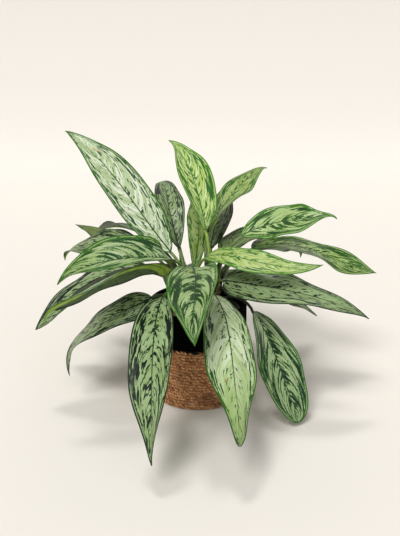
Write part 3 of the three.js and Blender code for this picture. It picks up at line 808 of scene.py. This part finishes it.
def cane_finish():
    """Green skin by the growing tip and brown bark below, streaked up the cane."""
    f = Finish("cane_skin", 0.6)
    upright = f.node("ShaderNodeMapping", {0: f.place(), 3: (260, 260, 60)}).outputs[0]
    streaks = f.noise(upright, 1.0, 4.0)
    green = f.mix(f.ramp(streaks, 0.3, 0.7), colour("#5d6b32"), colour("#8a9450"))
    brown = f.mix(f.ramp(streaks, 0.35, 0.65), colour("#6d5a3a"), colour("#94805a"))
    f.set("Base Color", f.mix(f.ramp(f.height(), 0.185, 0.14), green, brown))
    f.bump(streaks, 0.0008, 0.6)
    return f.material


def make_cane(name, x, y, top, material):
    """A cane ringed by the scars of the leaves it has shed."""
    rings = int((top - CANE_FOOT) / CANE_RING_PITCH)
    profile = [(0, CANE_FOOT), (CANE_RADIUS - 1, CANE_FOOT), (CANE_RADIUS, CANE_FOOT + 1)]
    for ring in range(1, rings):
        height = CANE_FOOT + ring * CANE_RING_PITCH
        radius = CANE_RADIUS - CANE_TAPER * ring / rings
        scar = radius + CANE_RING_RELIEF
        profile += [(radius - 0.25, height - 6), (radius, height - 2.2), (scar, height - 0.8),
                    (scar, height), (radius - 0.3, height + 0.7)]
    tip = CANE_RADIUS - CANE_TAPER
    profile += [(tip, top - 4), (0.8 * tip, top - 1.5), (0.45 * tip, top - 0.3), (0, top)]
    bm = bmesh.new()
    spun(bm, profile, CANE_STEPS, (x, y))
    make_piece(bm, f"cane_{name}_fine", [material], f"cane_{name}")


# ---------------------------------------------------------------- nursery pot and potting mix


def pot_radius(height):
    """The nursery pot's outer radius."""
    return lerp(POT_BASE_RADIUS, POT_RIM_RADIUS, (height - POT_BOTTOM) / (POT_RIM_HEIGHT - POT_BOTTOM))


def pot_finish():
    """Black plastic with a fine grain, smeared with potting mix."""
    f = Finish("nursery_pot_plastic", 0.5)
    fine = f.noise(f.place(), 1400.0, 2.0)
    smears = f.noise(f.place(), 60.0, 4.0)
    f.set("Base Color", f.mix(f.ramp(smears, 0.45, 0.75), colour("#161617"), colour("#2b2723")))
    f.set("Roughness", f.plus(0.4, f.times(smears, 0.25)))
    f.bump(fine, 0.0002, 0.4)
    return f.material


def make_grow_pot(material):
    """The nursery pot: a tapering wall with a lip round its rim and drain holes in its floor."""
    lip_bottom = POT_RIM_HEIGHT - POT_LIP_DEPTH
    floor_top = POT_BOTTOM + POT_WALL
    rim = pot_radius(POT_RIM_HEIGHT)
    foot = pot_radius(POT_BOTTOM)
    shoulder = POT_RIM_HEIGHT - POT_EDGE_ROUNDING
    profile = [(0, POT_BOTTOM), (foot - POT_FOOT_ROUNDING, POT_BOTTOM),
               (foot, POT_BOTTOM + POT_FOOT_ROUNDING), (pot_radius(lip_bottom), lip_bottom),
               (pot_radius(lip_bottom) + POT_LIP, lip_bottom), (rim + POT_LIP, shoulder),
               (rim + POT_LIP - POT_EDGE_ROUNDING, POT_RIM_HEIGHT),
               (rim - POT_WALL + 0.6, POT_RIM_HEIGHT), (rim - POT_WALL, shoulder),
               (pot_radius(floor_top) - POT_WALL, floor_top), (0, floor_top)]
    bm = bmesh.new()
    spun(bm, profile, POT_STEPS)
    pot = make_piece(bm, "grow_pot_fine", [material], "grow_pot")
    drills = bmesh.new()
    for hole in range(POT_HOLES):
        angle = hole / POT_HOLES * FULL_TURN
        x = POT_HOLE_CIRCLE * math.cos(angle)
        y = POT_HOLE_CIRCLE * math.sin(angle)
        spot = Matrix.Translation(Vector((x, y, POT_BOTTOM)) * MM)
        bmesh.ops.create_cone(drills, cap_ends=True, segments=POT_HOLE_STEPS,
                              radius1=POT_HOLE_RADIUS * MM, radius2=POT_HOLE_RADIUS * MM,
                              depth=POT_DRILL_LENGTH * MM, matrix=spot)
    cut_away(pot, drills)


def soil_finish():
    """Peat crumbs, darker where they are wet."""
    f = Finish("potting_mix_crumbs", 0.95)
    crumbs = f.noise(f.place(), 420.0, 4.0, 0.7)
    wet = f.noise(f.place(), 60.0, 2.0)
    peat = f.mix(f.ramp(crumbs, 0.35, 0.65), colour("#1c1410"), colour("#4a3526"))
    f.set("Base Color", f.mix(f.ramp(wet, 0.4, 0.7), peat, colour("#251a13")))
    f.bump(crumbs, 0.002, 0.9)
    return f.material


def bark_finish():
    f = Finish("bark_chips", 0.85)
    grain = f.noise(f.place(), 300.0, 4.0, 0.6)
    f.set("Base Color", f.mix(f.ramp(grain, 0.3, 0.7), colour("#33231a"), colour("#7a5a3f")))
    f.bump(grain, 0.001, 0.7)
    return f.material


def soil_height(share):
    """The potting mix's crowned top, at a share of the way from its middle to its edge."""
    return lerp(SOIL_CROWN, SOIL_EDGE, share ** 2)


def add_bark(bm, inside):
    """Flat chips of bark strewn over the top."""
    chance = random.Random(BARK_SEED)
    for _ in range(BARK_CHIPS):
        turn = chance.uniform(0, FULL_TURN)
        out = inside * 0.94 * math.sqrt(chance.random())
        spot = Vector((out * math.cos(turn), out * math.sin(turn), soil_height(out / inside)))
        size = chance.uniform(1.0, 3.2)
        lean = chance.uniform(0, FULL_TURN)
        tilt = Matrix.Rotation(lean, 4, Vector((chance.random(), 1, chance.random())))
        breadth = size * chance.uniform(0.4, 0.7)
        shape = Matrix.Diagonal((size, breadth, size * chance.uniform(0.2, 0.4), 1))
        chip = bmesh.ops.create_icosphere(bm, subdivisions=1, radius=MM,
                                          matrix=Matrix.Translation(spot * MM) @ tilt @ shape)
        for face in {face for vert in chip["verts"] for face in vert.link_faces}:
            face.material_index = 1


def make_soil(materials):
    """The potting mix: a crumbled crown with bark chips on it."""
    inside = pot_radius(SOIL_EDGE) - SOIL_INSET
    bottom_radius = pot_radius(SOIL_BOTTOM) - SOIL_INSET
    shares = [1 - ring / SOIL_RINGS for ring in range(SOIL_RINGS)]
    top = [(inside * share, soil_height(share)) for share in shares]
    bm = bmesh.new()
    spun(bm, [(0, SOIL_BOTTOM), (bottom_radius, SOIL_BOTTOM), *top, (0, SOIL_CROWN)], POT_STEPS)
    for vert in bm.verts:
        if vert.co.z > (SOIL_EDGE - 1) * MM:
            spot = vert.co / MM
            crumbs = 1.5 * noise.noise(spot / 6) + 0.8 * noise.noise(spot / 2.2)
            vert.co.z += (crumbs - 1.0) * MM
    add_bark(bm, inside)
    make_piece(bm, "potting_soil_fine", materials, "potting_soil")


# ---------------------------------------------------------------- basket


def basket_radius(height):
    """The basket's outer radius."""
    return lerp(BASKET_BASE_RADIUS, BASKET_RIM_RADIUS, height / BASKET_HEIGHT)


def seagrass_finish(name, shine):
    """Twisted seagrass: each strand has its own brown, with painted highlight on its palest blades and
    painted shade in the grooves between strands, and black dye above a ragged line.

    The cord map runs (strand, row), and a strand ends where its first number passes a whole one.
    """
    f = Finish(name, 0.8, Specular_IOR_Level=shine)
    strand, row = f.uv("cord")
    pick = f.random(f.vector(f.math("FLOOR", strand), f.math("FLOOR", row)))
    grain = f.vector(f.times(strand, 2.1), f.times(row, 3.4))
    blades = f.noise(grain, 1.0, 2.0, 0.7)
    fibres = f.noise(grain, 3.1, 3.0, 0.6)
    # Light and dark dashes along the grass blades: partly their own browns, with painted highlight in the
    # palest.
    straw = f.mix(f.ramp(blades, 0.39, 0.48), colour("#563019"), colour("#c9854e"))
    straw = f.mix(f.ramp(blades, 0.52, 0.61), straw, colour("#ffd09a"))
    straw = f.mix(f.times(f.ramp(pick, 0.6, 1.0), 0.6), straw, colour("#c98f58"))
    straw = f.mix(f.times(f.ramp(pick, 0.35, 0.0), 0.6), straw, colour("#6b4226"))
    straw = f.mix(f.times(f.ramp(fibres, 0.5, 0.38), 0.7), straw, colour("#3a2213"))
    # Painted shade in the grooves where one strand meets the next.
    side = f.math("ABSOLUTE", f.minus(f.math("FRACT", strand), 0.5))
    straw = f.mix(f.times(f.ramp(side, 0.38, 0.5), 0.8), straw, colour("#22130a"))
    patches = f.noise(f.place(), 38.0, 2.0)
    straw = f.mix(f.times(f.ramp(patches, 0.52, 0.75), 0.5), straw, colour("#4a2c18"))
    black = f.mix(f.ramp(fibres, 0.4, 0.7), colour("#020202"), colour("#080707"))
    ragged = f.times(f.minus(pick, 0.5), DYE_RAGGEDNESS * MM)
    dyed = f.ramp(f.plus(f.height(), ragged), DYE_FAINT_FROM * MM, DYE_FULL_FROM * MM)
    f.set("Base Color", f.mix(dyed, straw, black))
    f.bump(f.plus(fibres, blades), 0.0008, 0.8)
    return f.material


def add_cord(bm, radius, height, thick, tall):
    """A plain cord laid round the basket, before its strands are twisted."""
    steps = max(24, round(CORD_STEPS * radius / BASKET_BASE_RADIUS))
    section = bmesh.ops.create_circle(bm, segments=CORD_SIDES, radius=1)["verts"]
    bmesh.ops.rotate(bm, verts=section, matrix=Matrix.Rotation(math.pi / 2, 3, "X"))
    bmesh.ops.scale(bm, verts=section, vec=(thick * MM, 1, tall * MM))
    bmesh.ops.translate(bm, verts=section, vec=(radius * MM, 0, height * MM))
    edges = list({edge for vert in section for edge in vert.link_edges})
    bmesh.ops.spin(bm, geom=section + edges, cent=(0, 0, 0), axis=(0, 0, 1), angle=FULL_TURN,
                   steps=steps, use_merge=True)
    bmesh.ops.recalc_face_normals(bm, faces=bm.faces)


def cord_ring(radius, height, thick, tall, row, lay=CORD_LAY):
    """One row of twisted cord, with rounded strands and sharp grooves between them."""
    turns = max(6, round(FULL_TURN * radius / lay))
    bm = bmesh.new()
    uv = bm.loops.layers.uv.new("cord")
    add_cord(bm, radius, height, thick, tall)

    def angles(point):
        """How far round the basket a point lies, and how far round the cord."""
        flat = math.hypot(point.x, point.y)
        rise = (point.z - height * MM) / tall
        return math.atan2(point.y, point.x), math.atan2(rise, (flat - radius * MM) / thick)

    for face in bm.faces:
        middle = angles(face.calc_center_median())
        for loop in face.loops:
            pairs = zip(angles(loop.vert.co), middle)
            around, section = [a + FULL_TURN * round((m - a) / FULL_TURN) for a, m in pairs]
            strand = (turns * around + CORD_TWIST * section) / FULL_TURN
            # Kept a little clear of the whole numbers, where the next row's strands begin.
            loop[uv].uv = (strand, row + 0.5 + section / FULL_TURN / 1.01)
    for vert in bm.verts:
        around, section = angles(vert.co)
        phase = turns * around + CORD_TWIST * section
        bulge = STRAND_DEPTH * (abs(math.sin(phase / 2)) ** 0.7 - 1)
        bulge += STRAND_SWELL * noise.noise(Vector((40 * around, 3 * section, 9 * row)))
        flat = math.hypot(vert.co.x, vert.co.y) / MM + bulge * math.cos(section)
        rise = vert.co.z / MM + bulge * math.sin(section)
        vert.co = Vector((flat * math.cos(around), flat * math.sin(around), rise)) * MM
    mesh = bpy.data.meshes.new("cord_ring")
    bm.to_mesh(mesh)
    bm.free()
    return mesh


def joined(meshes):
    """One bmesh of all the rings, which are then dropped."""
    bm = bmesh.new()
    for mesh in meshes:
        bm.from_mesh(mesh)
        bpy.data.meshes.remove(mesh)
    return bm


def make_basket_body(material):
    """The natural rows up the wall, then the turns under the bottom."""
    rings = []
    half = BASKET_WALL / 2
    pitch = DYED_FROM / NATURAL_ROWS
    tall = pitch * CORD_HALF_HEIGHT
    for row in range(NATURAL_ROWS):
        height = max((row + 0.5) * pitch, tall + CORD_CLEARANCE)
        inset = FOOT_ROW_INSET if row == 0 else 0
        rings.append(cord_ring(basket_radius(height) - half - inset, height, half, tall, row))
    for turn in range(BOTTOM_TURNS):
        radius = lerp(BOTTOM_OUTER_RADIUS, BOTTOM_INNER_RADIUS, (turn + 0.5) / BOTTOM_TURNS)
        row = BOTTOM_FIRST_ROW + turn
        rings.append(cord_ring(radius, half + CORD_CLEARANCE, BOTTOM_CORD_HALF, half, row))
    make_piece(joined(rings), "basket_seagrass_woven", [material], "basket_seagrass")


def make_basket_band(material):
    """The dyed rows, with a finer cord round the rim."""
    rings = []
    half = BASKET_WALL / 2
    pitch = (BASKET_HEIGHT - DYED_FROM) / DYED_ROWS
    tall = pitch * CORD_HALF_HEIGHT
    for row in range(DYED_ROWS):
        height = DYED_FROM + (row + 0.5) * pitch
        lay = RIM_CORD_LAY if row == DYED_ROWS - 1 else CORD_LAY
        radius = basket_radius(height) - half
        rings.append(cord_ring(radius, height, half, tall, NATURAL_ROWS + row, lay))
    make_piece(joined(rings), "basket_dyed_band_woven", [material], "basket_dyed_band")


# ---------------------------------------------------------------- the object

leaf_materials = [upper_face_finish(), lower_face_finish(), stalk_finish()]
for number, leaf in enumerate(LEAVES):
    make_leaf(leaf, number, leaf_materials)

cane_skin = cane_finish()
for cane_name, (cane_x, cane_y, cane_top) in CANES.items():
    make_cane(cane_name, cane_x, cane_y, cane_top, cane_skin)

make_grow_pot(pot_finish())
make_soil([soil_finish(), bark_finish()])
make_basket_body(seagrass_finish("natural_cord", 0.45))
make_basket_band(seagrass_finish("dyed_cord", 0.03))

# ---------------------------------------------------------------- floor, light and camera

# The photograph's view, worked out from the basket's ellipses, in metres, degrees and pixels.
CAMERA_PLACE = (0.003, -0.9105, 0.5141)
CAMERA_PITCH = 19.02
PICTURE_HEIGHT = 536
FOCAL_PIXELS = 642.4
SENSOR = 36

PLANT_MIDDLE = Vector((0, 0, 0.18))


def make_floor():
    """A pale floor that curves up behind, so that no horizon shows. Its sizes are in metres."""
    front, flat_to, bend, length, reach = -5.0, 1.8, 1.2, 12.0, 7.0
    bm = bmesh.new()
    bmesh.ops.create_grid(bm, x_segments=1, y_segments=48, size=1)
    for vert in bm.verts:
        run = front + (vert.co.y + 1) / 2 * length
        past = max(0, run - flat_to)
        turn = min(math.pi / 2, past / bend)
        rise = bend * (1 - math.cos(turn)) + max(0, past - bend * math.pi / 2)
        vert.co = Vector((vert.co.x * reach, min(run, flat_to) + bend * math.sin(turn), rise))
    mesh = bpy.data.meshes.new("floor")
    for face in bm.faces:
        face.smooth = True
    bm.to_mesh(mesh)
    bm.free()
    floor = bpy.data.objects.new("floor", mesh)
    f = Finish("floor_paint", 0.9, Base_Color=colour("#e2ded8"))
    mesh.materials.append(f.material)
    bpy.context.collection.objects.link(floor)


def make_light(name, place, power, tint, spread):
    """A far light from a place's direction, which looks as broad in the sky as spread, in degrees."""
    data = bpy.data.lights.new(name, "SUN")
    data.energy = power
    data.color = tint
    data.angle = math.radians(spread)
    light = bpy.data.objects.new(name, data)
    light.location = place
    toward_plant = PLANT_MIDDLE - Vector(place)
    light.rotation_euler = toward_plant.to_track_quat("-Z", "Y").to_euler()
    bpy.context.collection.objects.link(light)


def make_camera():
    """The photograph's view of the plant."""
    data = bpy.data.cameras.new("camera")
    data.sensor_width = SENSOR
    data.lens = SENSOR * FOCAL_PIXELS / PICTURE_HEIGHT
    camera = bpy.data.objects.new("camera", data)
    camera.location = CAMERA_PLACE
    camera.rotation_euler = (math.radians(90 - CAMERA_PITCH), 0, 0)
    bpy.context.collection.objects.link(camera)
    bpy.context.scene.camera = camera


def make_surroundings():
    """Soft light from all round."""
    world = bpy.data.worlds.new("soft_room")
    world.use_nodes = True
    sky = world.node_tree.nodes["Background"]
    sky.inputs["Color"].default_value = (1.0, 0.98, 0.955, 1.0)
    sky.inputs["Strength"].default_value = 0.33
    bpy.context.scene.world = world
    bpy.context.scene.view_settings.view_transform = "Standard"


make_floor()
make_light("window", (-0.6, -1.1, 1.9), 2.1, (1.0, 0.985, 0.96), 24)
make_light("skylight", (-0.3, 0.3, 2.0), 0.75, (1.0, 0.985, 0.95), 9)
make_light("fill", (1.2, -1.8, 1.1), 0.5, (0.95, 0.98, 1.0), 60)
make_surroundings()
make_camera()
